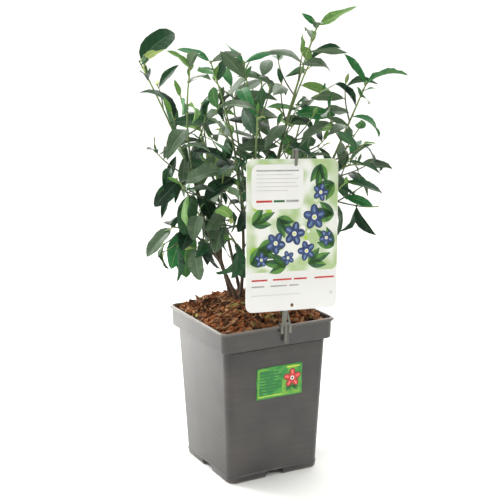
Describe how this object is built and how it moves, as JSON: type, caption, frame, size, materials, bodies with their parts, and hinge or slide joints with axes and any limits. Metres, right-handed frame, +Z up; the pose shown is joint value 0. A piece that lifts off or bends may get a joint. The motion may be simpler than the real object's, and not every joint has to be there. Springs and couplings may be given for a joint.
{
  "type": "potted blueberry bush",
  "caption": "Young bushy shrub with upright leafy canes in a tapered square nursery pot filled with bark mulch, with a picture label on a clip-on stake.",
  "frame": {"origin": "centre of the pot's flat underside", "axes": "+Z up through the pot and the crown, -Y towards the side of the pot that carries the picture label"},
  "size_m": [0.3066, 0.2815, 0.549],
  "materials": {
    "pot_plastic": "dark grey recycled plastic, semi-matt, lightly scuffed",
    "bark": "rough brown bark chips",
    "canes": "olive brown bark, green near the tips",
    "foliage": "satin green leaves with pale midribs",
    "card": "printed card, satin white",
    "stake_plastic": "grey green moulded plastic",
    "sticker": "printed film, satin green"
  },
  "bodies": {
    "root": {"pot": "pot_plastic", "bark_mulch": "bark", "label_card": "card", "label_stake": "stake_plastic", "pot_sticker": "sticker", "cane_west_tall": "canes", "cane_west_front": "canes", "cane_north_west": "canes", "cane_middle": "canes", "cane_leader": "canes", "cane_east_tall": "canes", "cane_north_east": "canes", "cane_east_mid": "canes", "cane_back_west": "canes", "cane_back_east": "canes", "cane_front": "canes", "cane_leader_fork": "canes", "cane_east_low": "canes", "cane_east_wide": "canes", "cane_west_low": "canes", "cane_front_west": "canes", "cane_front_low": "canes", "cane_front_mid": "canes", "cane_back_mid": "canes", "cane_back_far": "canes", "foliage_west_tall": "foliage", "foliage_west_front": "foliage", "foliage_north_west": "foliage", "foliage_middle": "foliage", "foliage_leader": "foliage", "foliage_east_tall": "foliage", "foliage_north_east": "foliage", "foliage_east_mid": "foliage", "foliage_back_west": "foliage", "foliage_back_east": "foliage", "foliage_front": "foliage", "foliage_leader_fork": "foliage", "foliage_east_low": "foliage", "foliage_east_wide": "foliage", "foliage_west_low": "foliage", "foliage_front_west": "foliage", "foliage_front_low": "foliage", "foliage_front_mid": "foliage", "foliage_back_mid": "foliage", "foliage_back_far": "foliage"}
  },
  "joints": []
}
